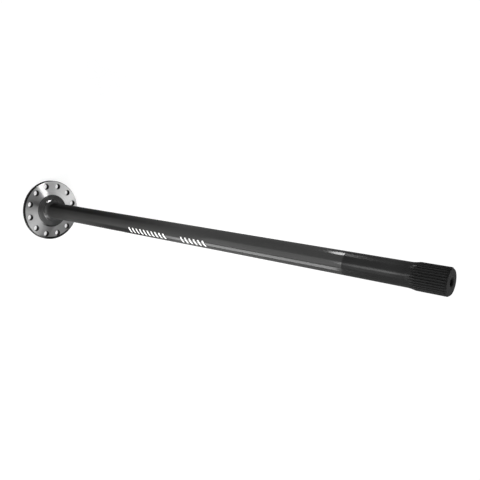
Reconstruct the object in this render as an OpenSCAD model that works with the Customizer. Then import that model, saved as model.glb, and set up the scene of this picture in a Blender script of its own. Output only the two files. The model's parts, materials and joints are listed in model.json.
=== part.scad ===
// Full-floating axle shaft, forged in one piece: a bolt flange, a forged boss at the shaft's root,
// a long plain shaft and an upset end with an involute spline.
// Millimetres. Z runs along the shaft from the flange's outer face, on which it stands, to the spline.

/* [Flange] */
// Outside diameter of the flange
flange_d = 170; // [155:1:220]
// Thickness of the flange between its two machined faces
flange_t = 12; // [9:0.5:20]
// Edge break on both rims of the flange
flange_chamfer = 1.5; // [0.5:0.1:2.5]

/* [Bolt holes] */
// Number of bolt holes in the flange
hole_count = 12; // [8:1:16]
// Distance from the hole centres out to the flange's rim
hole_edge = 14.5; // [12:0.5:19]
// Diameter of each bolt hole
hole_d = 15; // [11:0.5:18]
// Edge break at both mouths of each bolt hole
hole_chamfer = 0.8; // [0.4:0.1:1.2]

/* [Boss] */
// Diameter of the forged boss around the shaft's root
boss_d = 90; // [84:1:104]
// Height of the boss's edge above the machined seat
boss_h = 3; // [2.5:0.5:8]
// Rounding of the boss's edge
boss_edge_r = 2; // [0.5:0.1:2]
// Slope of the boss's face, in degrees, rising towards the shaft
boss_slope = 8; // [0:1:15]
// Fillet between the boss's face and the shaft
root_fillet_r = 12; // [6:0.5:15]

/* [Outer face] */
// Diameter of the shallow dish in the middle of the flange's outer face
dish_d = 84; // [60:1:100]
// Depth of that dish
dish_depth = 2.5; // [2:0.1:4]
// Rounding of the dish's floor into its wall
dish_fillet_r = 2; // [0.5:0.1:2]

/* [Shaft] */
// Length of the whole part from the outer face to the end of the spline
overall_length = 1168; // [800:1:1400]
// Diameter of the plain shaft
shaft_d = 45; // [36:0.5:55]

/* [Spline] */
// Number of spline teeth
spline_teeth = 32; // [24:1:40]
// Height of the spline's tooth roots above the plain shaft
root_clearance = 0.15; // [0.1:0.05:1]
// Pressure angle of the spline, in degrees
pressure_angle = 30; // [25:0.5:32]
// Length of the spline at its full diameter, with its end chamfer
spline_length = 55; // [35:1:90]
// Length of the run-out from the spline's outside down to the plain shaft
runout_length = 17; // [10:1:40]
// Length of the chamfer at the spline's end
end_chamfer = 3; // [1.5:0.1:4]
// Slope of that chamfer from the shaft's axis, in degrees
end_chamfer_angle = 40; // [30:1:45]

/* [Lathe centres] */
// Pilot diameter of the centre hole in each end
centre_pilot_d = 6.3; // [4:0.1:8]
// Depth of the pilot drilling
centre_depth = 14; // [12:0.5:20]
// Diameter of the 60 degree seat at its mouth
centre_seat_d = 13.2; // [10:0.1:15]
// Diameter of the guard countersink outside the seat
centre_guard_d = 18; // [15.5:0.1:22]

/* [Hidden] */
$fn = 96;

flange_r = flange_d / 2;
boss_r = boss_d / 2;
dish_r = dish_d / 2;
shaft_r = shaft_d / 2;
seat_z = flange_t;
// The boss and the shaft are rooted half-way into the flange
rooted_z = flange_t / 2;
bolt_circle_r = flange_r - hole_edge;
// The dish's corner is rounded by no more than its depth
dish_corner_r = min(dish_fillet_r, dish_depth);

// Tooth heights above and below the pitch circle, in modules, for a spline with fillet roots
spline_addendum = 0.5;
spline_dedendum = 0.9;
// The roots clear the plain shaft, so the tooth spaces run out on it, and the module follows from that
root_r = shaft_r + root_clearance;
spline_module = root_r / (spline_teeth / 2 - spline_dedendum);
pitch_r = spline_module * spline_teeth / 2;
base_r = pitch_r * cos(pressure_angle);
tip_r = pitch_r + spline_addendum * spline_module;
// Straight steps that follow the involute on each flank
flank_steps = 4;

spline_z = overall_length - spline_length;
runout_z = spline_z - runout_length;
upset_h = tip_r - shaft_r;
runout_r = (runout_length * runout_length + upset_h * upset_h) / (2 * upset_h);

// Cuts reach this far past the surface that they open
past = 1;

centre_seat_angle = 60;
centre_guard_angle = 120;
drill_point_angle = 118;

// Height of the boss's sloping face at a radius
function boss_face_z(r) = seat_z + boss_h + (boss_r - r) * tan(boss_slope);

// Involute of an angle in degrees, itself in degrees
function involute(angle) = tan(angle) * 180 / PI - angle;

// Half of the angle that a space between two teeth spans at a radius, in degrees
function half_space(r) =
    90 / spline_teeth - involute(pressure_angle) + involute(acos(base_r / r));

// Point at a radius and an angle from the X axis
function polar(r, angle) = [r * cos(angle), r * sin(angle)];

// Section of the flange as a disc with broken edges
module flange_section() {
    polygon([
        [0, 0],
        [flange_r - flange_chamfer, 0],
        [flange_r, flange_chamfer],
        [flange_r, flange_t - flange_chamfer],
        [flange_r - flange_chamfer, flange_t],
        [0, flange_t]
    ]);
}

// Section of the boss: a rounded edge, a sloping face and a fillet tangent to the face and the shaft
module boss_section() {
    normal = [sin(boss_slope), cos(boss_slope)];
    edge_c = [
        boss_r - boss_edge_r,
        boss_face_z(boss_r - boss_edge_r) - boss_edge_r / cos(boss_slope)
    ];
    fillet_c = [
        shaft_r + root_fillet_r,
        boss_face_z(shaft_r + root_fillet_r) + root_fillet_r / cos(boss_slope)
    ];
    difference() {
        union() {
            polygon([
                [0, rooted_z],
                [boss_r, rooted_z],
                [boss_r, edge_c[1]],
                edge_c,
                edge_c + boss_edge_r * normal,
                fillet_c - root_fillet_r * normal,
                fillet_c,
                [shaft_r, fillet_c[1]],
                [0, fillet_c[1]]
            ]);
            translate(edge_c) circle(boss_edge_r);
        }
        translate(fillet_c) circle(root_fillet_r);
    }
}

// Section of the plain shaft and of the upset end, which rises from it in an arc tangent to the shaft
module shaft_section() {
    end_r = tip_r - end_chamfer * tan(end_chamfer_angle);
    translate([0, rooted_z]) square([shaft_r, spline_z - rooted_z]);
    difference() {
        polygon([
            [0, runout_z],
            [tip_r, runout_z],
            [tip_r, overall_length - end_chamfer],
            [end_r, overall_length],
            [0, overall_length]
        ]);
        translate([shaft_r + runout_r, runout_z]) circle(runout_r);
    }
}

// Section of the dish in the outer face, with a rounded corner at its floor
module dish_section() {
    translate([0, -past]) square([dish_r, past + dish_depth - dish_corner_r]);
    square([dish_r - dish_corner_r, dish_depth]);
    translate([dish_r - dish_corner_r, dish_depth - dish_corner_r]) intersection() {
        circle(dish_corner_r);
        square(dish_corner_r);
    }
}

// Cutter for a lathe centre that opens downwards at z = 0
module centre_hole() {
    pilot_r = centre_pilot_d / 2;
    seat_r = centre_seat_d / 2;
    guard_r = centre_guard_d / 2;
    guard_z = (guard_r - seat_r) / tan(centre_guard_angle / 2);
    pilot_z = guard_z + (seat_r - pilot_r) / tan(centre_seat_angle / 2);
    rotate_extrude() polygon([
        [0, -past],
        [guard_r, -past],
        [guard_r, 0],
        [seat_r, guard_z],
        [pilot_r, pilot_z],
        [pilot_r, centre_depth],
        [0, centre_depth + pilot_r / tan(drill_point_angle / 2)]
    ]);
}

// Cutter for one bolt hole with its two broken edges
module bolt_hole() {
    mouth_d = hole_d + 2 * hole_chamfer;
    translate([0, 0, -past]) cylinder(h = flange_t + 2 * past, d = hole_d);
    cylinder(h = hole_chamfer, d1 = mouth_d, d2 = hole_d);
    translate([0, 0, flange_t - hole_chamfer]) cylinder(h = hole_chamfer, d1 = hole_d, d2 = mouth_d);
}

// Cutter for one space between two spline teeth: involute flanks and a full root fillet.
// The fillet's circle touches both flanks and the root circle.
module tooth_space() {
    root_slope = acos(base_r / root_r) + half_space(root_r);
    fillet_r = root_r * sin(half_space(root_r)) * cos(root_slope) / (1 - sin(root_slope));
    flank_r = root_r + fillet_r * (1 - sin(root_slope));
    flank_h = tip_r + past - flank_r;
    radii = [for (i = [0:flank_steps]) flank_r + flank_h * i / flank_steps];
    flank = [for (r = radii) polar(r, half_space(r))];
    other_flank = [for (i = [flank_steps:-1:0]) polar(radii[i], -half_space(radii[i]))];
    translate([0, 0, runout_z]) linear_extrude(height = spline_length + runout_length + past) {
        polygon(concat(flank, other_flank));
        translate([root_r + fillet_r, 0]) circle(fillet_r);
    }
}

// The whole forging with its machined faces, holes and spline
module axle_shaft() {
    color([0.17, 0.17, 0.18]) difference() {
        rotate_extrude() {
            flange_section();
            boss_section();
            shaft_section();
        }
        rotate_extrude() dish_section();
        translate([0, 0, dish_depth]) centre_hole();
        translate([0, 0, overall_length]) mirror([0, 0, 1]) centre_hole();
        for (i = [0:hole_count - 1]) {
            rotate([0, 0, 360 / hole_count * i]) translate([bolt_circle_r, 0, 0]) bolt_hole();
        }
        for (i = [0:spline_teeth - 1]) {
            rotate([0, 0, 360 / spline_teeth * i]) tooth_space();
        }
    }
}

axle_shaft();
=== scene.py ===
"""Looks of a forged axle shaft, laid out as an add-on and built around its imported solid.

The forging is one skin of the same form as the solid, with a finish for each of its surfaces.
Lengths are in metres throughout.
"""

import json
import math
from collections import namedtuple

import bpy
import numpy as np
from mathutils import Matrix, Vector


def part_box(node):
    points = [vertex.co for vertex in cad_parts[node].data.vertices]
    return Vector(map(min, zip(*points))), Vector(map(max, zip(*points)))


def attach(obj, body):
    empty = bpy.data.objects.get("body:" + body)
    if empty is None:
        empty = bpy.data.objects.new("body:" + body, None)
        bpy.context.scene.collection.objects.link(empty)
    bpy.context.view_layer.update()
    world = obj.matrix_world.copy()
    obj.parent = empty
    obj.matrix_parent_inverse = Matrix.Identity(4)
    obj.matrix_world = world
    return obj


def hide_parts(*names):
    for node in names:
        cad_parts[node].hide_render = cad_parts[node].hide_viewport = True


bl_info = {
    "name": "Axle shaft",
    "version": (1, 0, 0),
    "blender": (4, 5, 0),
    "location": "3D View > Sidebar > Axle shaft",
    "description": "Builds the skin, the finishes and the studio of a forged axle shaft",
    "category": "Object",
}

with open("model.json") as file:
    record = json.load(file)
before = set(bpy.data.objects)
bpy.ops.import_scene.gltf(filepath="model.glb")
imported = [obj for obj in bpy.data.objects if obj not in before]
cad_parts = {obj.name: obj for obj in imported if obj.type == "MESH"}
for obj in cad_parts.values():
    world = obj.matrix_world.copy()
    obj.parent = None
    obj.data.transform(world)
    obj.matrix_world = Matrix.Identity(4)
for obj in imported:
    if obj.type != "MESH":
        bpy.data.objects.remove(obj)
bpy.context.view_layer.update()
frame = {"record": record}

NODE = "axle_shaft"
LOW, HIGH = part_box(NODE)
BODY = "root"

MM = 0.001
FULL_TURN = 2 * math.pi
MOUNTS = {mount["name"]: mount for mount in frame["record"]["mounts"]}
BOLTS = MOUNTS["hub_bolts"]["dims"]
SEAT = MOUNTS["hub_seat"]

# Steps of a root fillet on each side of the space between two teeth
TOOTH_FILLET_STEPS = 2
# Points round one tooth and its space: those of both fillets, and four more on each side
TOOTH_POINTS = 2 * (TOOTH_FILLET_STEPS + 4)
# Heights of a tooth above and below the pitch circle, in modules
ADDENDUM = 0.5
DEDENDUM = 0.9
# Half angles of a centre hole's guard and seat and of the drill's point
GUARD_SLOPE = math.radians(60)
SEAT_SLOPE = math.radians(30)
DRILL_SLOPE = math.radians(59)

# Points closer than this are one point of the skin
WELD = 1e-7
# Edges sharper than this are shaded crisp
CRISP = math.radians(38)
# Share of wear at each point of the skin, kept with its mesh
WEAR = "wear"
# How far the rub of an edge reaches onto the next surface
RUB_REACH = 0.8 * MM
# Shares to which the flange's faces are rubbed at the rim, the middle of its chamfers and the spline's end
FACE_RUB = 0.8
CHAMFER_RUB = 0.2
END_RUB = 0.7

# Steps of the skin along each stretch of the forging's profile
BOSS_EDGE_STEPS = 8
BOSS_FACE_STEPS = 5
ROOT_FILLET_STEPS = 20
DISH_FILLET_STEPS = 8
DISH_FLOOR_STEPS = 6
PAINTED_STEPS = 24
COATED_STEPS = 3
RUNOUT_STEPS = 8
TOOTH_STEPS = 4
END_FACE_STEPS = 4
# Rings of a flange face round each bolt hole, and the power by which they crowd towards it
HOLE_RINGS = 7
HOLE_CROWDING = 1.6

# Finishes of the skin, as places in its list of materials
TURNED, DRILLED, BLACK, FORGED, PAINTED, COATED, CUT, FACED = range(8)


def length(name, words, value):
    """A property for a length."""
    return bpy.props.FloatProperty(
        name=name, description=words, default=value, min=0.0, precision=5, subtype="DISTANCE", unit="LENGTH"
    )


def angle(name, words, degrees):
    """A property for an angle, kept in radians."""
    return bpy.props.FloatProperty(
        name=name, description=words, default=math.radians(degrees), subtype="ANGLE"
    )


def colour(name, words, value):
    """A property for a linear colour."""
    return bpy.props.FloatVectorProperty(
        name=name, description=words, default=value, size=3, min=0.0, max=1.0, subtype="COLOR"
    )


def number(name, words, value):
    """A property for a count of like features."""
    return bpy.props.IntProperty(name=name, description=words, default=value, min=1)


def place(name, words, value):
    """A property for a point in the part's frame."""
    return bpy.props.FloatVectorProperty(
        name=name, description=words, default=value, size=3, subtype="TRANSLATION", unit="LENGTH"
    )


def share(name, words, value):
    """A property for a share from 0 to 1."""
    return bpy.props.FloatProperty(
        name=name, description=words, default=value, min=0.0, max=1.0, subtype="FACTOR"
    )


class AxleShaftSizes(bpy.types.PropertyGroup):
    """Sizes of the forging and its cuts"""

    overall_length: length("Overall length", "From the outer face to the spline's end", HIGH.z - LOW.z)
    flange_diameter: length("Flange diameter", "Outside of the flange", HIGH.x - LOW.x)
    flange_thickness: length("Flange thickness", "Between the two machined faces", SEAT["pos_m"][2])
    flange_chamfer: length("Flange chamfer", "Edge break on both rims", 1.5 * MM)
    hole_count: number("Bolt holes", "Holes in the flange", BOLTS["count"])
    bolt_circle: length("Bolt circle", "Diameter through the hole centres", BOLTS["pcd_mm"] * MM)
    hole_diameter: length("Hole diameter", "Bolt hole", 2 * BOLTS["hole_r_mm"] * MM)
    hole_chamfer: length("Hole chamfer", "Edge break at both mouths of a hole", 0.8 * MM)
    boss_diameter: length("Boss diameter", "Forged boss at the shaft's root", 90 * MM)
    boss_height: length("Boss height", "Height of the boss's edge above the seat", 3 * MM)
    boss_edge: length("Boss edge", "Rounding of the boss's edge", 2 * MM)
    boss_slope: angle("Boss slope", "Rise of the boss's face towards the shaft", 8)
    root_fillet: length("Root fillet", "Fillet between the boss and the shaft", 12 * MM)
    dish_diameter: length("Dish diameter", "Shallow dish in the outer face", 84 * MM)
    dish_depth: length("Dish depth", "Depth of the dish", 2.5 * MM)
    dish_fillet: length("Dish fillet", "Rounding of the dish's floor into its wall", 2 * MM)
    shaft_diameter: length("Shaft diameter", "Plain shaft", 45 * MM)
    spline_teeth: number("Spline teeth", "Teeth of the spline", 32)
    root_clearance: length("Root clearance", "Height of the tooth roots above the plain shaft", 0.15 * MM)
    pressure_angle: angle("Pressure angle", "Pressure angle of the spline", 30)
    tip_break: length("Tip break", "Edge break along the tooth tips", 0.15 * MM)
    spline_length: length("Spline length", "Full-diameter spline with its chamfer", 55 * MM)
    runout_length: length("Run-out length", "From the spline's outside down to the shaft", 17 * MM)
    end_chamfer: length("End chamfer", "Length of the chamfer at the spline's end", 3 * MM)
    end_chamfer_angle: angle("End chamfer angle", "Slope of that chamfer from the axis", 40)
    centre_pilot: length("Centre pilot", "Pilot diameter of each centre hole", 6.3 * MM)
    centre_depth: length("Centre depth", "Depth of the pilot drilling", 14 * MM)
    centre_seat: length("Centre seat", "Diameter of the 60 degree seat at its mouth", 13.2 * MM)
    centre_guard: length("Centre guard", "Diameter of the guard countersink", 18 * MM)


class AxleShaftFinish(bpy.types.PropertyGroup):
    """Colours and marks of the surfaces"""

    steel: colour("Turned steel", "Bare machined faces", (0.60, 0.60, 0.60))
    bore: colour("Drilled steel", "Oxide in the holes", (0.014, 0.014, 0.014))
    rim: colour("Rim", "Black coat on the rim of the flange", (0.010, 0.010, 0.010))
    forging: colour("Forged skin", "Boss and dish", (0.030, 0.030, 0.030))
    paint: colour("Shaft paint", "Glossy charcoal on the shaft", (0.036, 0.036, 0.0355))
    coat: colour("End coat", "Darker satin towards the spline", (0.023, 0.023, 0.023))
    spline: colour("Spline", "Cut teeth with their black finish", (0.034, 0.034, 0.034))
    rubbed: colour("Rubbed steel", "Edges that have worn through their coat", (0.20, 0.20, 0.20))
    tick: colour("Tick paint", "White paint of the ticks on the shaft", (0.86, 0.86, 0.85))
    finish_line: length("Finish line", "Where the glossy paint ends, above the outer face", 978 * MM)
    smooth_line: length("Smooth line", "Where the end coat is smoothest", 1072 * MM)
    smooth_fade: length("Smooth fade", "Height over which it dulls again towards the spline", 30 * MM)
    pool_foot: length("Pool foot", "Where the lacquer pooled in the root fillet starts", 17.25 * MM)
    pool_top: length("Pool top", "Where that pooled lacquer ends", 17.7 * MM)
    pool_fade: length("Pool fade", "Height over which it thins out", 0.25 * MM)
    pool_gloss: share("Pool gloss", "Weight of the pooled lacquer's coat", 0.5)
    # The oil film on the faces dulls them, and darkens their colour towards +X as painted shade
    film_and_shade_full: length("Film full", "How far towards +X the oil film on the faces is full", 60 * MM)
    film_and_shade_wander: length("Film wander", "How far the film's edge wanders", 40 * MM)
    film_dulling: share("Film dulling", "Roughness that the film adds where it is full", 0.56)
    film_shade_side: angle("Film side", "Where the film lies thickest, round the axis", 60)
    # Painted shade: dark lines on the seat along the boss's foot and the rim, on one side of the axis
    shade_lines_side: angle("Oil side", "Where oil has gathered at the boss's foot and the rim, round the axis", 30)
    foot_shade_line: length("Foot line", "Radius to which the oil at the boss's foot is dark", 47 * MM)
    foot_shade_fade: length("Foot fade", "Width over which that oil thins out", 3 * MM)
    rim_shade_line: length("Rim line", "Radius from which the oil along the rim is dark", 79.5 * MM)
    rim_shade_fade: length("Rim fade", "Width over which that oil thins out", 2 * MM)
    # The scale's top also bounds the painted shade on two sides of the shaft
    scale_and_shade_top: length("Scale top", "Where the dull scale near the flange has faded out", 560 * MM)
    tick_pitch: length("Tick pitch", "Distance between two ticks along the shaft", 13.5 * MM)
    tick_width: length("Tick width", "Width of a tick along the shaft", 4.6 * MM)
    tick_slant: length("Tick slant", "How far a tick leans along the shaft", 6 * MM)
    tick_film: length("Tick film", "Thickness of the tick's paint", 0.08 * MM)
    tick_start: angle("Tick start", "Where each tick starts round the shaft", -66)
    tick_end: angle("Tick end", "Where each tick ends round the shaft", -30)


class AxleShaftStage(bpy.types.PropertyGroup):
    """Camera, lamps and floor"""

    camera_place: place("Camera", "Where the camera stands", (0.0545, -0.9220, 1.4564))
    camera_aim: place("Aim", "The point at the picture's middle", (-0.0085, -0.0005, 0.7207))
    camera_roll: angle("Roll", "Turn of the camera about its own axis", 99.914)
    focal: bpy.props.FloatProperty(name="Lens", description="Focal length", default=41.745, unit="CAMERA")
    sensor: bpy.props.FloatProperty(name="Sensor", description="Sensor width", default=36.0, unit="CAMERA")
    floor_side: length("Floor", "Side of the square floor", 60.0)
    floor_tone: share("Floor tone", "How much light the floor gives back", 0.35)
    floor_glow: share("Floor glow", "White of the floor at the part that no lamp has to give", 0.67)
    glow_near: length("Glow near", "Reach of that share round the part, where its shadow falls", 0.12)
    glow_far: length("Glow far", "Where the floor is fully white by itself", 0.9)
    cove_glow: share("Cove glow", "White of the cove behind the floor", 1.0)
    cove_foot: angle("Cove foot", "How high above the horizon the cove stays white", 14)
    cove_top: angle("Cove top", "How high above the horizon the cove ends", 32)
    ambient: share("Ambient", "Brightness of the room around the part", 0.1)


def steps(count):
    """Shares of the way, from the first step to the whole."""
    return [(i + 1) / count for i in range(count)]


def arc(centre, radius, start, end, count):
    """Points of an arc in the (radius, height) plane, without its first point."""
    turns = [start + (end - start) * t for t in steps(count)]
    return [(centre[0] + radius * math.cos(turn), centre[1] + radius * math.sin(turn)) for turn in turns]


def straight(start, end, count):
    """Points along a line in the (radius, height) plane, without its first point."""
    return [(start[0] + (end[0] - start[0]) * t, start[1] + (end[1] - start[1]) * t) for t in steps(count)]


def around(radius, angles, height):
    """A ring of points. Radius and height may be one number or one for each angle."""
    ring = np.empty((len(angles), 3))
    ring[:, 0] = radius * np.cos(angles)
    ring[:, 1] = radius * np.sin(angles)
    ring[:, 2] = height
    return ring


def lathe(profile, angles):
    """Rings of points that turn a profile about the shaft's axis."""
    return np.array([around(radius, angles, height) for radius, height in profile])


class Skin:
    """Quads gathered patch by patch, with their finish and wear, and welded where points coincide."""

    def __init__(self):
        self.points = []
        self.wear = []
        self.quads = []
        self.finishes = []
        self.crisp = []
        self.count = 0

    def patch(self, grid, finish, closed=True, crisp_rows=(), wear=0.0):
        """Adds rows of points as quads. A closed patch joins its last column to its first.

        Wear is one number for the patch, or numbers that spread over its rows and columns.
        """
        rows, columns = grid.shape[:2]
        index = self.count + np.arange(rows * columns).reshape(rows, columns)
        if closed:
            index = np.hstack([index, index[:, :1]])
        corners = (index[:-1, :-1], index[:-1, 1:], index[1:, 1:], index[1:, :-1])
        quads = np.stack(corners, axis=-1).reshape(-1, 4)
        for row in crisp_rows:
            self.crisp.append(np.stack([index[row, :-1], index[row, 1:]], axis=-1))
        self.points.append(grid.reshape(-1, 3))
        self.wear.append(np.broadcast_to(wear, (rows, columns)).ravel())
        self.quads.append(quads)
        self.finishes.append(np.full(len(quads), finish))
        self.count += rows * columns

    def turned(self, profile, angles, finish):
        """Adds a patch turned about the axis from (radius, height, wear) points."""
        wear = np.array([point[2] for point in profile])
        self.patch(lathe([point[:2] for point in profile], angles), finish, wear=wear[:, None])

    def mesh(self, name):
        """The welded mesh, smooth but for its crisp rows and its sharper edges."""
        points = np.concatenate(self.points)
        cells = np.round(points / WELD).astype(np.int64)
        _, first, welded = np.unique(cells, axis=0, return_index=True, return_inverse=True)
        welded = welded.ravel()
        faces = []
        for quad in welded[np.concatenate(self.quads)]:
            faces.append([int(v) for i, v in enumerate(quad) if v != quad[i - 1]])
        mesh = bpy.data.meshes.new(name)
        mesh.from_pydata(points[first].tolist(), [], faces)
        mesh.polygons.foreach_set("material_index", np.concatenate(self.finishes).astype(np.int32))
        worn = np.zeros(len(first))
        np.maximum.at(worn, welded, np.concatenate(self.wear))
        mesh.attributes.new(WEAR, "FLOAT", "POINT").data.foreach_set("value", worn)
        mesh.shade_smooth()
        mesh.set_sharp_from_angle(angle=CRISP)
        mark_crisp(mesh, [welded[pairs] for pairs in self.crisp])
        mesh.validate()
        return mesh


def mark_crisp(mesh, pairs):
    """Marks the edges between the given pairs of points as sharp, beside those that are already."""
    if not pairs:
        return
    wanted = np.sort(np.concatenate(pairs), axis=1)
    edges = np.empty(2 * len(mesh.edges), np.int32)
    mesh.edges.foreach_get("vertices", edges)
    edges = np.sort(edges.reshape(-1, 2), axis=1)
    key = len(mesh.vertices)
    sharp = np.zeros(len(edges), bool)
    mesh.attributes["sharp_edge"].data.foreach_get("value", sharp)
    sharp |= np.isin(edges[:, 0] * key + edges[:, 1], wanted[:, 0] * key + wanted[:, 1])
    mesh.attributes["sharp_edge"].data.foreach_set("value", sharp)


class Forging:
    """The forging's derived sizes and the patches of its skin."""

    def __init__(self, size):
        self.size = size
        self.columns = size.spline_teeth * TOOTH_POINTS
        self.sector = self.columns // size.hole_count
        if self.sector * size.hole_count != self.columns or self.sector % 2:
            raise ValueError("the bolt holes don't share the skin's columns evenly; change their count")
        self.angles = np.arange(self.columns) * FULL_TURN / self.columns
        self.flange_r = size.flange_diameter / 2
        self.face_r = self.flange_r - size.flange_chamfer
        self.boss_r = size.boss_diameter / 2
        self.shaft_r = size.shaft_diameter / 2
        self.seat_z = size.flange_thickness
        self.spline_z = size.overall_length - size.spline_length
        self.runout_z = self.spline_z - size.runout_length
        self.lead_z = self.runout_z - size.runout_length
        self.root_r = self.shaft_r + size.root_clearance
        module = self.root_r / (size.spline_teeth / 2 - DEDENDUM)
        self.pitch_r = module * size.spline_teeth / 2
        self.base_r = self.pitch_r * math.cos(size.pressure_angle)
        self.tip_r = self.pitch_r + ADDENDUM * module
        upset = self.tip_r - self.shaft_r
        self.runout_r = (size.runout_length**2 + upset**2) / (2 * upset)
        self.end_r = self.tip_r - size.end_chamfer * math.tan(size.end_chamfer_angle)
        self.tooth_angles, self.tooth_radii = self.tooth_columns()

    def half_space(self, radius):
        """Half of the angle that the space between two teeth spans at a radius."""
        turn = math.acos(self.base_r / radius)
        pressure = self.size.pressure_angle
        return math.pi / (2 * self.size.spline_teeth) - math.tan(pressure) + pressure + math.tan(turn) - turn

    def tooth_columns(self):
        """Angle and radius of each column of the spline: root fillet, involute flank and tip."""
        size = self.size
        half_root = self.half_space(self.root_r)
        slope = math.acos(self.base_r / self.root_r) + half_root
        fillet = self.root_r * math.sin(half_root) * math.cos(slope) / (1 - math.sin(slope))
        half = [(0.0, self.root_r)]
        for t in steps(TOOTH_FILLET_STEPS):
            turn = (math.pi / 2 - slope) * t
            x, y = self.root_r + fillet * (1 - math.cos(turn)), fillet * math.sin(turn)
            half.append((math.atan2(y, x), math.hypot(x, y)))
        flank_top = self.tip_r - size.tip_break
        flank_mid = (half[-1][1] + flank_top) / 2
        half += [(self.half_space(radius), radius) for radius in (flank_mid, flank_top)]
        half.append((self.half_space(self.tip_r) + size.tip_break / self.tip_r, self.tip_r))
        pitch = FULL_TURN / size.spline_teeth
        middle = [(pitch / 2, self.tip_r)]
        tooth = half + middle + [(pitch - turn, radius) for turn, radius in half[:0:-1]]
        angles = [tooth_turn + pitch * i for i in range(size.spline_teeth) for tooth_turn, _ in tooth]
        return np.array(angles), np.array([radius for _, radius in tooth] * size.spline_teeth)

    def boss_z(self, radius):
        """Height of the boss's sloping face at a radius."""
        return self.seat_z + self.size.boss_height + (self.boss_r - radius) * math.tan(self.size.boss_slope)

    def runout(self, height):
        """Radius of the run-out's arc at a height."""
        rise = np.clip(height - self.runout_z, 0, self.size.runout_length)
        return self.shaft_r + self.runout_r - np.sqrt(self.runout_r**2 - rise**2)

    def boss(self):
        """Profile of the boss from the seat up to the plain shaft."""
        size = self.size
        slope, upright = size.boss_slope, math.pi / 2
        edge_r = self.boss_r - size.boss_edge
        edge = (edge_r, self.boss_z(edge_r) - size.boss_edge / math.cos(slope))
        root_r = self.shaft_r + size.root_fillet
        root = (root_r, self.boss_z(root_r) + size.root_fillet / math.cos(slope))
        points = [(self.boss_r, self.seat_z), (self.boss_r, edge[1])]
        points += arc(edge, size.boss_edge, 0, upright - slope, BOSS_EDGE_STEPS)
        fillet_foot = arc(root, size.root_fillet, 0, -upright - slope, 1)[0]
        points += straight(points[-1], fillet_foot, BOSS_FACE_STEPS)
        points += arc(root, size.root_fillet, -upright - slope, -math.pi, ROOT_FILLET_STEPS)
        points[-1] = (self.shaft_r, root[1])
        return points

    def on_boss_edge(self, radius, height):
        """Whether a point of the boss lies on the rounding of its edge."""
        return height > self.seat_z and radius > self.boss_r - self.size.boss_edge

    def centre_hole(self, mouth_z, inward):
        """Profile of a centre hole from its mouth to the drill's point, inward +1 for up or -1 for down."""
        size = self.size
        guard, seat, pilot = size.centre_guard / 2, size.centre_seat / 2, size.centre_pilot / 2
        seat_deep = (guard - seat) / math.tan(GUARD_SLOPE)
        pilot_deep = seat_deep + (seat - pilot) / math.tan(SEAT_SLOPE)
        point_deep = size.centre_depth + pilot / math.tan(DRILL_SLOPE)
        deep = [(guard, 0), (seat, seat_deep), (pilot, pilot_deep)]
        deep += [(pilot, size.centre_depth), (0.0, point_deep)]
        return [(radius, mouth_z + inward * depth) for radius, depth in deep]

    def sector_outline(self, hole, inner_r, height):
        """Outline of a flange face's share round one hole: inner arc, side, outer arc, other side."""
        half = self.sector // 2
        middle = hole * self.sector
        along = np.arange(middle - half, middle + half + 1) % self.columns
        across = inner_r + (self.face_r - inner_r) * np.arange(1, half) / half
        first, last = self.angles[along[0]], self.angles[along[-1]]
        return np.vstack([
            around(inner_r, self.angles[along], height),
            around(across, np.full(len(across), last), height),
            around(self.face_r, self.angles[along[::-1]], height),
            around(across[::-1], np.full(len(across), first), height),
        ])

    def drilled_sector(self, skin, hole):
        """One bolt hole and the share of both flat faces of the flange that lies round it."""
        size = self.size
        wall_r = size.hole_diameter / 2
        mouth_r = wall_r + size.hole_chamfer
        turn = self.angles[hole * self.sector]
        centre = np.array([math.cos(turn), math.sin(turn)]) * size.bolt_circle / 2
        seat = self.sector_outline(hole, self.boss_r, self.seat_z)
        outer = self.sector_outline(hole, size.dish_diameter / 2, 0.0)
        ways = seat[:, :2] - centre
        ways /= np.linalg.norm(ways, axis=1, keepdims=True)

        def ring(radius, height):
            return np.column_stack([centre + radius * ways, np.full(len(ways), height)])

        def face(outline, height):
            mouth = ring(mouth_r, height)
            reach = [0.0] + [t**HOLE_CROWDING for t in steps(HOLE_RINGS)]
            return np.array([mouth + (outline - mouth) * t for t in reach])

        skin.patch(face(seat, self.seat_z), TURNED)
        skin.patch(face(outer, 0.0)[::-1], TURNED)
        low, high = size.hole_chamfer, self.seat_z - size.hole_chamfer
        wall = ((mouth_r, 0.0), (wall_r, low), (wall_r, high), (mouth_r, self.seat_z))
        skin.patch(np.array([ring(*point) for point in wall]), DRILLED)

    def rim(self, skin):
        """Outside of the flange with its two edge breaks, rubbed along their corners."""
        chamfer = self.size.flange_chamfer
        lower = [(self.face_r, 0.0, FACE_RUB), (self.flange_r - chamfer / 2, chamfer / 2, CHAMFER_RUB)]
        lower += [(self.flange_r, chamfer, 1.0), (self.flange_r, chamfer + RUB_REACH, 0.0)]
        upper = [(radius, self.seat_z - height, wear) for radius, height, wear in lower[::-1]]
        skin.turned(lower + upper, self.angles, BLACK)

    def dish(self, skin):
        """Dish of the outer face, with the centre hole in its floor."""
        size = self.size
        radius = size.dish_diameter / 2
        corner = (radius - size.dish_fillet, size.dish_depth - size.dish_fillet)
        profile = [(radius, 0.0), (radius, corner[1])]
        profile += arc(corner, size.dish_fillet, 0, math.pi / 2, DISH_FILLET_STEPS)
        profile += straight(profile[-1], (size.centre_guard / 2, size.dish_depth), DISH_FLOOR_STEPS)
        skin.patch(lathe(profile[::-1], self.angles), FORGED)
        skin.patch(lathe(self.centre_hole(size.dish_depth, 1)[::-1], self.angles), DRILLED)

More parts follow.
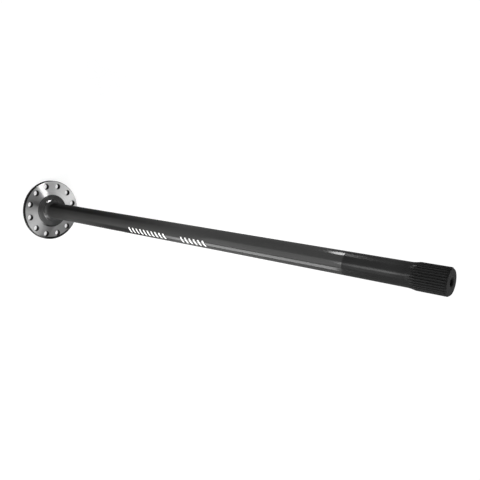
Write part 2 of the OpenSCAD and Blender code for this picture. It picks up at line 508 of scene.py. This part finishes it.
    def shaft(self, skin, finish_line):
        """Boss and plain shaft up to the lead of the run-out."""
        boss = self.boss()
        worn = [(*point, 1.0 if self.on_boss_edge(*point) else 0.0) for point in boss]
        skin.turned(worn, self.angles, FORGED)
        painted = [boss[-1]] + straight(boss[-1], (self.shaft_r, finish_line), PAINTED_STEPS)
        coated = [painted[-1]] + straight(painted[-1], (self.shaft_r, self.lead_z), COATED_STEPS)
        skin.patch(lathe(painted, self.angles), PAINTED)
        skin.patch(lathe(coated, self.angles), COATED)

    def spline(self, skin):
        """Run-out with its plain lead, teeth, end chamfer, end face and centre hole."""
        size = self.size
        turns, radii = self.tooth_angles, self.tooth_radii
        rise = self.runout_r**2 - (self.runout_r - (radii - self.shaft_r))**2
        start = self.runout_z + np.minimum(np.sqrt(rise), size.runout_length)
        top = size.overall_length
        chamfer = top - size.end_chamfer + (self.tip_r - radii) / math.tan(size.end_chamfer_angle)
        lead = around(self.shaft_r, self.angles, self.lead_z)
        skin.patch(np.array([lead, around(self.shaft_r, turns, self.runout_z)]), COATED)
        runout = [self.runout_z + (start - self.runout_z) * t for t in [0.0] + steps(RUNOUT_STEPS)]
        skin.patch(np.array([around(self.runout(z), turns, z) for z in runout]), COATED)
        teeth = [start + (chamfer - start) * t for t in [0.0] + steps(TOOTH_STEPS)]
        rubbed = np.clip((radii - self.pitch_r) / (self.tip_r - self.pitch_r), 0, 1)
        sides = np.array([around(radii, turns, z) for z in teeth])
        skin.patch(sides, CUT, crisp_rows=(0, TOOTH_STEPS), wear=rubbed)
        cone = [around(radii, turns, chamfer), around(self.end_r, turns, top)]
        skin.patch(np.array(cone), FACED, wear=[rubbed, np.full(len(turns), END_RUB)])
        inner = self.end_r - RUB_REACH
        plain = straight((inner, top), (size.centre_guard / 2, top), END_FACE_STEPS)
        face = [(self.end_r, top, END_RUB), (inner, top, 0.0)] + [(*point, 0.0) for point in plain]
        skin.turned(face, turns, FACED)
        skin.patch(lathe(self.centre_hole(top, -1), turns), DRILLED)

    def skin(self, finish_line):
        """The whole skin."""
        skin = Skin()
        for hole in range(self.size.hole_count):
            self.drilled_sector(skin, hole)
        self.rim(skin)
        self.dish(skin)
        self.shaft(skin, finish_line)
        self.spline(skin)
        return skin


def link_object(name, data):
    """A new object in the scene."""
    made = bpy.data.objects.new(name, data)
    bpy.context.scene.collection.objects.link(made)
    return made


class Nodes:
    """Short hand for building a node tree."""

    def __init__(self, tree):
        self.tree = tree

    def add(self, kind, **settings):
        """A node with its settings. A setting that names an input feeds it or sets its value."""
        node = self.tree.nodes.new(kind)
        for key, value in settings.items():
            if hasattr(node, key):
                setattr(node, key, value)
            else:
                self.feed(node.inputs[key.replace("_", " ")], value)
        return node

    def feed(self, socket, value):
        """Links a socket to an input, or sets the input's value."""
        if isinstance(value, bpy.types.NodeSocket):
            self.tree.links.new(value, socket)
        else:
            socket.default_value = value

    def math(self, operation, first, second=0.0, clamp=False):
        """Result of an operation on two values."""
        node = self.tree.nodes.new("ShaderNodeMath")
        node.operation = operation
        node.use_clamp = clamp
        self.feed(node.inputs[0], first)
        self.feed(node.inputs[1], second)
        return node.outputs[0]

    def product(self, first, *others):
        """Values multiplied together."""
        for other in others:
            first = self.math("MULTIPLY", first, other)
        return first

    def noise(self, **settings):
        """Value of a noise."""
        return self.add("ShaderNodeTexNoise", **settings).outputs[0]

    def between(self, value, low, high, start=0.0, end=1.0):
        """The value's place between low and high, as a number from start to end."""
        node = self.tree.nodes.new("ShaderNodeMapRange")
        for socket, given in zip(node.inputs, (value, low, high, start, end)):
            self.feed(socket, given)
        return node.outputs[0]

    def scaled(self, share_of, start, end):
        """A share from 0 to 1, as a number from start to end."""
        return self.between(share_of, 0.0, 1.0, start, end)

    def band(self, value, start, full, fading, end):
        """1 where the value lies from full to fading, down to 0 at start and at end."""
        return self.product(self.between(value, start, full), self.between(value, fading, end, 1.0, 0.0))

    def mix(self, share_of, first, second):
        """Two colours mixed by a share."""
        node = self.tree.nodes.new("ShaderNodeMix")
        node.data_type = "RGBA"
        self.feed(node.inputs["Factor"], share_of)
        self.feed(node.inputs[6], first)
        self.feed(node.inputs[7], second)
        return node.outputs[2]

    def object_space(self):
        """The point on the piece, in the part's own frame, and its three axes."""
        at = self.add("ShaderNodeTexCoord").outputs["Object"]
        return at, self.add("ShaderNodeSeparateXYZ", Vector=at).outputs

    def radius(self, axes):
        """Distance of the point from the shaft's axis."""
        squares = [self.math("POWER", axes[name], 2.0) for name in ("X", "Y")]
        return self.math("SQRT", self.math("ADD", *squares))

    def towards(self, at, turn):
        """How far the point lies towards one side, given as an angle round the axis."""
        node = self.add("ShaderNodeVectorMath", operation="DOT_PRODUCT", Vector=at)
        node.inputs[1].default_value = (math.cos(turn), math.sin(turn), 0.0)
        return node.outputs["Value"]

    def group(self, group, **values):
        """A placed node group with its own values."""
        node = self.tree.nodes.new("ShaderNodeGroup")
        node.node_tree = group
        for key, value in values.items():
            self.feed(node.inputs[key.replace("_", " ")], value)
        return node.outputs


def new_group(name, inputs, outputs):
    """An empty shader node group with named number sockets: its nodes, its inputs and its outputs."""
    tree = bpy.data.node_groups.new(name, "ShaderNodeTree")
    for socket, value in inputs.items():
        made = tree.interface.new_socket(socket, in_out="INPUT", socket_type="NodeSocketFloat")
        made.default_value = value
    for socket in outputs:
        tree.interface.new_socket(socket, in_out="OUTPUT", socket_type="NodeSocketFloat")
    nodes = Nodes(tree)
    return nodes, nodes.add("NodeGroupInput").outputs, nodes.add("NodeGroupOutput").inputs


# The middle of a noise, and the ranges in which most of it lies and in which it breaks up a rubbed edge
NOISE_MIDDLE = 0.5
NOISE_RANGE = (0.3, 0.7)
BREAKUP_RANGE = (0.35, 0.65)
# Broad rings to one fine ring of the lathe's marks
BROAD_RINGS = 0.07
# How much finer the sheen of a surface varies than its tone
SHEEN_FINER = 3.7


def turning_marks():
    """Fine rings that a lathe tool leaves round the axis, as a height and a sheen."""
    sockets = {"Pitch": 0.4 * MM, "Chatter": 0.5}
    nodes, given, made = new_group("Turning marks", sockets, ("Height", "Sheen"))
    at, axes = nodes.object_space()
    turns = nodes.math("DIVIDE", nodes.radius(axes), given["Pitch"])
    fine = nodes.noise(noise_dimensions="1D", W=turns, Scale=1.0, Detail=2.0)
    broad = nodes.noise(noise_dimensions="1D", W=nodes.product(turns, BROAD_RINGS), Scale=1.0)
    patch = nodes.noise(Vector=at, Scale=45.0, Detail=3.0)
    uneven = nodes.product(nodes.math("SUBTRACT", patch, NOISE_MIDDLE), given["Chatter"])
    nodes.feed(made["Height"], fine)
    nodes.feed(made["Sheen"], nodes.math("ADD", broad, uneven, clamp=True))
    return nodes.tree


def surface_grain():
    """Mottling and a fine skin of a forged or painted surface, as a tone, a height and a sheen."""
    sockets = {"Grain": 900.0, "Mottle": 28.0, "Stretch": 1.0}
    nodes, given, made = new_group("Surface grain", sockets, ("Tone", "Height", "Sheen"))
    at, axes = nodes.object_space()
    along = nodes.product(axes["Z"], given["Stretch"])
    drawn = nodes.add("ShaderNodeCombineXYZ", X=axes["X"], Y=axes["Y"], Z=along).outputs[0]
    nodes.feed(made["Tone"], nodes.noise(Vector=drawn, Scale=given["Mottle"], Detail=4.0))
    nodes.feed(made["Height"], nodes.noise(Vector=at, Scale=given["Grain"], Detail=2.0))
    finer = nodes.product(given["Mottle"], SHEEN_FINER)
    nodes.feed(made["Sheen"], nodes.noise(Vector=drawn, Scale=finer))
    return nodes.tree


def edge_wear():
    """Edges rubbed through their coat, as a mask that a fine noise breaks up."""
    nodes, given, made = new_group("Edge wear", {"Amount": 0.5, "Breakup": 300.0}, ("Mask",))
    at, _ = nodes.object_space()
    rubbed = nodes.add("ShaderNodeAttribute", attribute_name=WEAR).outputs["Fac"]
    noise = nodes.noise(Vector=at, Scale=given["Breakup"], Detail=4.0)
    broken = nodes.product(rubbed, nodes.between(noise, *BREAKUP_RANGE))
    nodes.feed(made["Mask"], nodes.math("MULTIPLY", broken, given["Amount"], clamp=True))
    return nodes.tree


def new_material(name, **fixed):
    """A material with a Principled shader. Fixed values are set on the shader's own sockets."""
    material = bpy.data.materials.new(name)
    material.use_nodes = True
    nodes = Nodes(material.node_tree)
    shader = material.node_tree.nodes["Principled BSDF"]
    for key, value in fixed.items():
        shader.inputs[key.replace("_", " ")].default_value = value
    return material, nodes, shader.inputs


def shade(value, amount=1.0):
    """A colour made darker or lighter, as a shader's four numbers."""
    return tuple(min(1.0, channel * amount) for channel in value) + (1.0,)


def mottled(nodes, tone, value, spread):
    """A colour that a tone makes darker or lighter by up to a share of itself."""
    return nodes.mix(tone, shade(value, 1 - spread), shade(value, 1 + spread))


def relief(nodes, shader, height, depth):
    """Feeds a height to the shader's normal as a fine relief."""
    node = nodes.add("ShaderNodeBump", Height=height, Distance=depth, Strength=1.0)
    nodes.feed(shader["Normal"], node.outputs[0])


# How much smoother rubbed steel is than the coat round it
RUBBED_SMOOTHER = 0.12


def rub(nodes, shader, finish, mask, base, roughness):
    """Feeds a coat's colour and roughness to the shader, with bare steel where the mask has worn it off."""
    nodes.feed(shader["Base Color"], nodes.mix(mask, base, shade(finish.rubbed)))
    smoother = nodes.product(mask, RUBBED_SMOOTHER)
    nodes.feed(shader["Roughness"], nodes.math("SUBTRACT", roughness, smoother))
    nodes.feed(shader["Metallic"], mask)


# How far towards its side the film on the faces starts to thicken and is thick, as painted shade, and the
# same for the painted shade lines at the boss's foot and along the rim
THICK_FILM_SHADE = (20 * MM, 50 * MM)
FOOT_SHADE = (25 * MM, 37 * MM)
RIM_SHADE = (55 * MM, 75 * MM)


def painted_shade_lines(nodes, finish, at, axes):
    """Painted shade on the seat: dark lines along the boss's foot and the rim, on one side of the axis."""
    run = nodes.towards(at, finish.shade_lines_side)
    radius = nodes.radius(axes)
    at_foot = nodes.between(radius, finish.foot_shade_line, finish.foot_shade_line + finish.foot_shade_fade, 1.0, 0.0)
    at_rim = nodes.between(radius, finish.rim_shade_line - finish.rim_shade_fade, finish.rim_shade_line)
    foot = nodes.product(at_foot, nodes.between(run, *FOOT_SHADE))
    rim = nodes.product(at_rim, nodes.between(run, *RIM_SHADE))
    on_seat = nodes.between(axes["Z"], LOW.z, SEAT["pos_m"][2])
    return nodes.product(on_seat, nodes.math("MAXIMUM", foot, rim))


def turned_face(finish, effects):
    """Bare steel faced on a lathe: bright, with a radial sheen, an oil film run to one side that dulls it
    and darkens it as painted shade, and painted shade lines at the boss's foot and the rim.
    """
    fixed = {"Metallic": 1.0, "Anisotropic": 0.95, "Anisotropic_Rotation": 0.25}
    material, nodes, shader = new_material("turned_face", **fixed)
    ring = nodes.group(effects.marks, Pitch=0.5 * MM, Chatter=0.35)
    bare = mottled(nodes, ring["Sheen"], finish.steel, spread=0.1)
    at, axes = nodes.object_space()
    wander = nodes.product(nodes.noise(Vector=at, Scale=30.0, Detail=3.0), finish.film_and_shade_wander)
    film = nodes.between(nodes.math("ADD", axes["X"], wander), 0.0, finish.film_and_shade_full)
    thickness = nodes.between(nodes.towards(at, finish.film_shade_side), *THICK_FILM_SHADE)
    # Painted shade: the film darkens the steel to the first two colours, and the last is the painted shade
    # of the lines at the boss's foot and the rim
    thin, thick, gathered = [shade(finish.steel, amount) for amount in (0.62, 0.42, 0.03)]
    oiled_and_shaded = nodes.mix(film, bare, nodes.mix(thickness, thin, thick))
    # Painted shade along the boss's foot and the rim
    lines = painted_shade_lines(nodes, finish, at, axes)
    nodes.feed(shader["Base Color"], nodes.mix(lines, oiled_and_shaded, gathered))
    clean = nodes.scaled(ring["Sheen"], 0.26, 0.36)
    dulled = nodes.product(film, finish.film_dulling)
    nodes.feed(shader["Roughness"], nodes.math("ADD", clean, dulled))
    relief(nodes, shader, ring["Height"], 0.004 * MM)
    tangent = nodes.add("ShaderNodeTangent", direction_type="RADIAL", axis="Z")
    nodes.feed(shader["Tangent"], tangent.outputs[0])
    return material


def drilled_hole(finish, effects):
    """Drilled steel with a dark oxide."""
    material, nodes, shader = new_material("drilled_hole", Specular_IOR_Level=0.02)
    skin = nodes.group(effects.grain, Grain=1500.0, Mottle=120.0)
    nodes.feed(shader["Base Color"], mottled(nodes, skin["Tone"], finish.bore, spread=0.3))
    nodes.feed(shader["Roughness"], nodes.scaled(skin["Sheen"], 0.4, 0.55))
    relief(nodes, shader, skin["Height"], 0.01 * MM)
    return material


def black_rim(finish, effects):
    """Black coat on the rim, rubbed at its corners."""
    material, nodes, shader = new_material("black_rim", Specular_IOR_Level=0.015)
    skin = nodes.group(effects.grain, Grain=700.0, Mottle=40.0)
    worn = nodes.group(effects.wear, Amount=0.12, Breakup=260.0)
    base = mottled(nodes, skin["Tone"], finish.rim, spread=0.3)
    rub(nodes, shader, finish, worn["Mask"], base, nodes.scaled(skin["Sheen"], 0.45, 0.6))
    relief(nodes, shader, skin["Height"], 0.02 * MM)
    return material


def forged_skin(finish, effects):
    """Shot-blasted forging under a thin dark lacquer that pools in the root fillet, rubbed at its edge."""
    fixed = {"Specular_IOR_Level": 0.03, "Coat_Roughness": 0.18, "Coat_IOR": 3.0}
    material, nodes, shader = new_material("forged_skin", **fixed)
    skin = nodes.group(effects.grain, Grain=650.0, Mottle=40.0)
    worn = nodes.group(effects.wear, Amount=0.08, Breakup=180.0)
    base = mottled(nodes, skin["Tone"], finish.forging, spread=0.25)
    rub(nodes, shader, finish, worn["Mask"], base, nodes.scaled(skin["Sheen"], 0.4, 0.55))
    _, axes = nodes.object_space()
    foot, top, fade = finish.pool_foot, finish.pool_top, finish.pool_fade
    pooled = nodes.product(nodes.band(axes["Z"], foot - fade, foot, top, top + fade), finish.pool_gloss)
    thin = nodes.between(skin["Tone"], *NOISE_RANGE, 0.055, 0.085)
    nodes.feed(shader["Coat Weight"], nodes.math("ADD", thin, pooled))
    relief(nodes, shader, skin["Height"], 0.03 * MM)
    return material


# Sides of the shaft darkened as painted shade, as lengths along X
UPPER_SHADE = (-9 * MM, -4 * MM)
LOWER_SHADE = (11 * MM, 15 * MM)
# Where the paint clears of the dull scale, and where the upper painted shade fades, as shares of the scale's
# top
CLEARING = (0.1, 1.0)
UPPER_SHADE_FADE = (0.4, 1.0)
# Where the lower painted shade starts, is full, fades and ends, as shares of the scale's top
LOWER_SHADE_SPAN = (0.25, 0.55, 0.7, 1.0)


def shaft_paint(finish, effects):
    """Glossy charcoal paint along the shaft, duller over a scale near the flange, with painted shade on two
    sides of its lower part.
    """
    fixed = {"Specular_IOR_Level": 0.005, "Coat_Roughness": 0.1, "Coat_IOR": 3.0}
    material, nodes, shader = new_material("shaft_paint", **fixed)
    skin = nodes.group(effects.grain, Grain=420.0, Mottle=30.0, Stretch=0.12)
    _, axes = nodes.object_space()
    height = nodes.math("DIVIDE", axes["Z"], finish.scale_and_shade_top)
    clear = nodes.between(height, *CLEARING)
    fresh = mottled(nodes, skin["Tone"], finish.paint, spread=0.15)
    # Painted shade: two sides of the shaft near the flange are darkened to the second of these colours
    dimmed, scale = [shade(finish.paint, amount) for amount in (0.9, 0.3)]
    shaded_upper_side = nodes.between(axes["X"], *UPPER_SHADE, 1.0, 0.0)
    upper = nodes.product(shaded_upper_side, nodes.between(height, *UPPER_SHADE_FADE, 1.0, 0.0))
    lower = nodes.product(nodes.between(axes["X"], *LOWER_SHADE), nodes.band(height, *LOWER_SHADE_SPAN))
    # Where two sides of the shaft are darkened as painted shade
    bare = nodes.math("MAXIMUM", upper, lower)
    nodes.feed(shader["Base Color"], nodes.mix(bare, nodes.mix(clear, dimmed, fresh), scale))
    nodes.feed(shader["Roughness"], nodes.scaled(skin["Sheen"], 0.36, 0.46))
    gloss = nodes.scaled(clear, 0.015, 0.1)
    covered = nodes.scaled(bare, 1.0, 0.3)
    patchy = nodes.between(skin["Tone"], *NOISE_RANGE, 0.85, 1.15)
    nodes.feed(shader["Coat Weight"], nodes.product(gloss, covered, patchy))
    relief(nodes, shader, skin["Height"], 0.004 * MM)
    return material


def end_coat(finish, effects):
    """Darker satin coat that grows smoother towards the spline and dulls again at the run-out."""
    fixed = {"Specular_IOR_Level": 0.008, "Coat_Roughness": 0.2, "Coat_IOR": 3.0}
    material, nodes, shader = new_material("end_coat", **fixed)
    skin = nodes.group(effects.grain, Grain=800.0, Mottle=36.0, Stretch=0.3)
    satin = mottled(nodes, skin["Tone"], finish.coat, spread=0.18)
    deep = shade(finish.coat, 0.35)
    _, axes = nodes.object_space()
    top = finish.smooth_line
    smooth = nodes.band(axes["Z"], finish.finish_line, top, top, top + finish.smooth_fade)
    nodes.feed(shader["Base Color"], nodes.mix(smooth, satin, deep))
    nodes.feed(shader["Roughness"], nodes.scaled(skin["Sheen"], 0.4, 0.5))
    gloss = nodes.scaled(smooth, 0.032, 0.085)
    patchy = nodes.between(skin["Tone"], *NOISE_RANGE, 0.8, 1.2)
    nodes.feed(shader["Coat Weight"], nodes.product(gloss, patchy))
    relief(nodes, shader, skin["Height"], 0.012 * MM)
    return material


def cut_spline(finish, effects):
    """Cut teeth with a thin black finish, rubbed along their tips."""
    material, nodes, shader = new_material("cut_spline", Specular_IOR_Level=0.03)
    skin = nodes.group(effects.grain, Grain=1400.0, Mottle=60.0, Stretch=0.2)
    worn = nodes.group(effects.wear, Amount=0.05, Breakup=220.0)
    base = mottled(nodes, skin["Tone"], finish.spline, spread=0.22)
    rub(nodes, shader, finish, worn["Mask"], base, nodes.scaled(skin["Sheen"], 0.4, 0.55))
    relief(nodes, shader, skin["Height"], 0.006 * MM)
    return material


def faced_end(finish, effects):
    """The spline's end, faced and chamfered on a lathe under the same black finish."""
    material, nodes, shader = new_material("faced_end", Specular_IOR_Level=0.02)
    ring = nodes.group(effects.marks, Pitch=0.4 * MM, Chatter=0.4)
    worn = nodes.group(effects.wear, Amount=0.22, Breakup=220.0)
    base = mottled(nodes, ring["Sheen"], finish.spline, spread=0.25)
    rub(nodes, shader, finish, worn["Mask"], base, nodes.scaled(ring["Sheen"], 0.4, 0.55))
    relief(nodes, shader, ring["Height"], 0.01 * MM)
    return material


def tick_paint(finish, effects):
    """White brushed paint of the ticks."""
    material, nodes, shader = new_material("tick_paint", Specular_IOR_Level=0.4)
    skin = nodes.group(effects.grain, Grain=700.0, Mottle=90.0)
    thin, thick = [shade(finish.tick, amount) for amount in (0.92, 1.04)]
    nodes.feed(shader["Base Color"], nodes.mix(skin["Tone"], thin, thick))
    nodes.feed(shader["Roughness"], nodes.scaled(skin["Sheen"], 0.4, 0.6))
    relief(nodes, shader, skin["Height"], 0.02 * MM)
    return material


# The skin's materials, in the order of its finishes
SKIN_FINISHES = (
    turned_face, drilled_hole, black_rim, forged_skin, shaft_paint, end_coat, cut_spline, faced_end
)
Effects = namedtuple("Effects", "marks grain wear")


def shared_effects():
    """The node groups that the finishes share, built once."""
    makers = {"Turning marks": turning_marks, "Surface grain": surface_grain, "Edge wear": edge_wear}
    return Effects(*[bpy.data.node_groups.get(name) or make() for name, make in makers.items()])


class AXLE_SHAFT_OT_forging(bpy.types.Operator):
    """Build the skin of the forging with its finishes"""

    bl_idname = "axle_shaft.forging"
    bl_label = "Forging"

    def execute(self, context):
        finish = context.scene.axle_shaft_finish
        forging = Forging(context.scene.axle_shaft_sizes)
        mesh = forging.skin(finish.finish_line).mesh("forging")
        effects = shared_effects()
        for make in SKIN_FINISHES:
            mesh.materials.append(make(finish, effects))
        piece = link_object("forging", mesh)
        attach(piece, BODY)
        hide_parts(NODE)
        return {"FINISHED"}


# Height of the first tick of each row on the shaft, and how many ticks the row has
TICK_ROWS = ((383 * MM, 10), (564 * MM, 6))
# Steps along one tick, round the shaft
TICK_STEPS = 12
# Place of the white paint in the ticks' list of materials
WHITE = 0


class AXLE_SHAFT_OT_ticks(bpy.types.Operator):
    """Paint the two rows of slanted white ticks on the shaft"""

    bl_idname = "axle_shaft.ticks"
    bl_label = "Paint ticks"

    def execute(self, context):
        finish = context.scene.axle_shaft_finish
        shaft_r = context.scene.axle_shaft_sizes.shaft_diameter / 2
        skin = Skin()
        for first, count in TICK_ROWS:
            for i in range(count):
                self.tick(skin, finish, shaft_r, first + i * finish.tick_pitch)
        mesh = skin.mesh("paint_ticks")
        mesh.materials.append(tick_paint(finish, shared_effects()))
        piece = link_object("paint_ticks", mesh)
        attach(piece, BODY)
        return {"FINISHED"}

    def tick(self, skin, finish, shaft_r, start):
        """One closed film of paint, half above the shaft's surface and half below."""
        across = np.linspace(0.0, 1.0, TICK_STEPS + 1)
        turns = finish.tick_start + (finish.tick_end - finish.tick_start) * across
        inside, outside = shaft_r - finish.tick_film, shaft_r + finish.tick_film
        near = start + finish.tick_slant * across
        far = near + finish.tick_width
        corners = ((inside, near), (inside, far), (outside, far), (outside, near))
        film = np.array([around(radius, turns, height) for radius, height in corners]).transpose(1, 0, 2)
        skin.patch(film, WHITE)
        first, last = film[0], film[-1]
        skin.patch(np.array([first[[0, 3]], first[[1, 2]]]), WHITE, closed=False)
        skin.patch(np.array([last[[3, 0]], last[[2, 1]]]), WHITE, closed=False)


# A soft rectangular lamp: its place, the point it looks at, its sides, its power and its grid's spread
Lamp = namedtuple("Lamp", "place aim width height power spread", defaults=(math.radians(180),))
LAMPS = {
    "key": Lamp((1.36, -2.03, 1.2), (0.0, 0.0, 0.6), 1.0, 1.4, 14.0),
    "front": Lamp((0.268, -0.559, 0.45), (0.0, 0.0, 0.5), 0.6, 0.7, 1.68),
    "strip": Lamp((0.441, -0.091, 0.375), (0.0, 0.0, 0.375), 0.25, 0.72, 4.35),
    "end": Lamp((0.16, -0.6, 0.76), (0.0, 0.0, 1.04), 0.16, 0.2, 0.6),
    "kicker": Lamp((-0.675, -0.08, 0.612), (0.0, 0.0, 0.95), 0.38, 0.06, 1.5),
    "overhead": Lamp((0.53, 0.66, 2.0), (0.0, 0.0, 0.0), 1.2, 1.2, 10.0),
    "wedge": Lamp((-1.19, 0.185, 1.72), (0.0, 0.0, 0.0), 0.3, 0.3, 0.4, math.radians(24)),
    "back": Lamp((-0.6, 0.97, 1.65), (0.0, 0.0, 0.0), 0.8, 0.8, 1.2),
}


def add_lamp(name, lamp):
    """A lamp that lights the part and shows in its gloss, and that the camera doesn't see."""
    light = bpy.data.lights.new(name, "AREA")
    light.shape = "RECTANGLE"
    light.size = lamp.width
    light.size_y = lamp.height
    light.energy = lamp.power
    light.spread = lamp.spread
    made = link_object(name, light)
    made.location = lamp.place
    made.rotation_euler = (Vector(lamp.aim) - Vector(lamp.place)).to_track_quat("-Z", "Y").to_euler()
    made.visible_camera = False


def seen_directly(nodes):
    """1 for rays that show the background: from the camera, a gloss or through glass."""
    path = nodes.add("ShaderNodeLightPath").outputs
    other = nodes.math("MAXIMUM", path["Is Glossy Ray"], path["Is Transmission Ray"])
    return nodes.math("MAXIMUM", path["Is Camera Ray"], other)


def floor_material(stage):
    """Plain pale floor that looks white and keeps the part's soft shadow."""
    material = bpy.data.materials.new("pale_floor")
    material.use_nodes = True
    material.node_tree.nodes.clear()
    nodes = Nodes(material.node_tree)
    matt = nodes.add("ShaderNodeBsdfDiffuse", Color=shade((stage.floor_tone,) * 3))
    at, _ = nodes.object_space()
    reach = nodes.add("ShaderNodeVectorMath", operation="LENGTH", Vector=at).outputs["Value"]
    glow = nodes.between(reach, stage.glow_near, stage.glow_far, stage.floor_glow, 1.0)
    white = nodes.add("ShaderNodeEmission", Strength=nodes.product(seen_directly(nodes), glow))
    both = nodes.add("ShaderNodeAddShader")
    nodes.feed(both.inputs[0], matt.outputs[0])
    nodes.feed(both.inputs[1], white.outputs[0])
    nodes.add("ShaderNodeOutputMaterial", Surface=both.outputs[0])
    return material


def room(stage):
    """A dim even room whose white cove stands behind the floor."""
    world = bpy.data.worlds.new("room")
    world.use_nodes = True
    nodes = Nodes(world.node_tree)
    way = nodes.add("ShaderNodeTexCoord").outputs["Generated"]
    rise = nodes.add("ShaderNodeSeparateXYZ", Vector=way).outputs["Z"]
    cove = nodes.between(rise, math.sin(stage.cove_foot), math.sin(stage.cove_top), 1.0, 0.0)
    shown = nodes.product(cove, seen_directly(nodes))
    light = world.node_tree.nodes["Background"].inputs
    light["Color"].default_value = (1.0, 1.0, 1.0, 1.0)
    nodes.feed(light["Strength"], nodes.scaled(shown, stage.ambient, stage.cove_glow))
    return world


class AXLE_SHAFT_OT_stage(bpy.types.Operator):
    """Set up the floor, the lamps, the room and the camera"""

    bl_idname = "axle_shaft.stage"
    bl_label = "Stage"

    def execute(self, context):
        scene = context.scene
        stage = scene.axle_shaft_stage
        half = stage.floor_side / 2
        mesh = bpy.data.meshes.new("floor")
        corners = [(-half, -half, 0), (half, -half, 0), (half, half, 0), (-half, half, 0)]
        mesh.from_pydata(corners, [], [(0, 1, 2, 3)])
        mesh.materials.append(floor_material(stage))
        floor = link_object("floor", mesh)
        floor.location.z = LOW.z
        for name, lamp in LAMPS.items():
            add_lamp(name, lamp)
        scene.world = room(stage)
        self.add_camera(scene, stage)
        scene.view_settings.view_transform = "Standard"
        return {"FINISHED"}

    def add_camera(self, scene, stage):
        """The camera at the photograph's viewing angle."""
        data = bpy.data.cameras.new("camera")
        data.sensor_width = stage.sensor
        data.lens = stage.focal
        data.clip_end = stage.floor_side
        camera = link_object("camera", data)
        way = (Vector(stage.camera_aim) - Vector(stage.camera_place)).to_track_quat("-Z", "Y").to_matrix()
        turned = way @ Matrix.Rotation(stage.camera_roll, 3, "Z")
        camera.matrix_world = Matrix.Translation(stage.camera_place) @ turned.to_4x4()
        scene.camera = camera


class AXLE_SHAFT_PT_panel(bpy.types.Panel):
    """Sizes, finishes and steps of the axle shaft"""

    bl_idname = "AXLE_SHAFT_PT_panel"
    bl_label = "Axle shaft"
    bl_space_type = "VIEW_3D"
    bl_region_type = "UI"
    bl_category = "Axle shaft"

    def draw(self, context):
        for group, cls in SETTINGS.items():
            box = self.layout.box()
            for name in cls.__annotations__:
                box.prop(getattr(context.scene, group), name)
        for step in STEPS:
            self.layout.operator(step.bl_idname)


STEPS = (AXLE_SHAFT_OT_forging, AXLE_SHAFT_OT_ticks, AXLE_SHAFT_OT_stage)
SETTINGS = {
    "axle_shaft_sizes": AxleShaftSizes,
    "axle_shaft_finish": AxleShaftFinish,
    "axle_shaft_stage": AxleShaftStage,
}


def register():
    """Registers the classes and hangs the settings on the scene."""
    for cls in (*SETTINGS.values(), *STEPS, AXLE_SHAFT_PT_panel):
        bpy.utils.register_class(cls)
    for name, cls in SETTINGS.items():
        setattr(bpy.types.Scene, name, bpy.props.PointerProperty(type=cls))


def unregister():
    """Takes the settings off the scene and unregisters the classes."""
    for name in SETTINGS:
        delattr(bpy.types.Scene, name)
    for cls in reversed((*SETTINGS.values(), *STEPS, AXLE_SHAFT_PT_panel)):
        bpy.utils.unregister_class(cls)


def main():
    """Builds the part and its stage."""
    register()
    bpy.ops.axle_shaft.forging()
    bpy.ops.axle_shaft.ticks()
    bpy.ops.axle_shaft.stage()


if __name__ == "__main__":
    main()
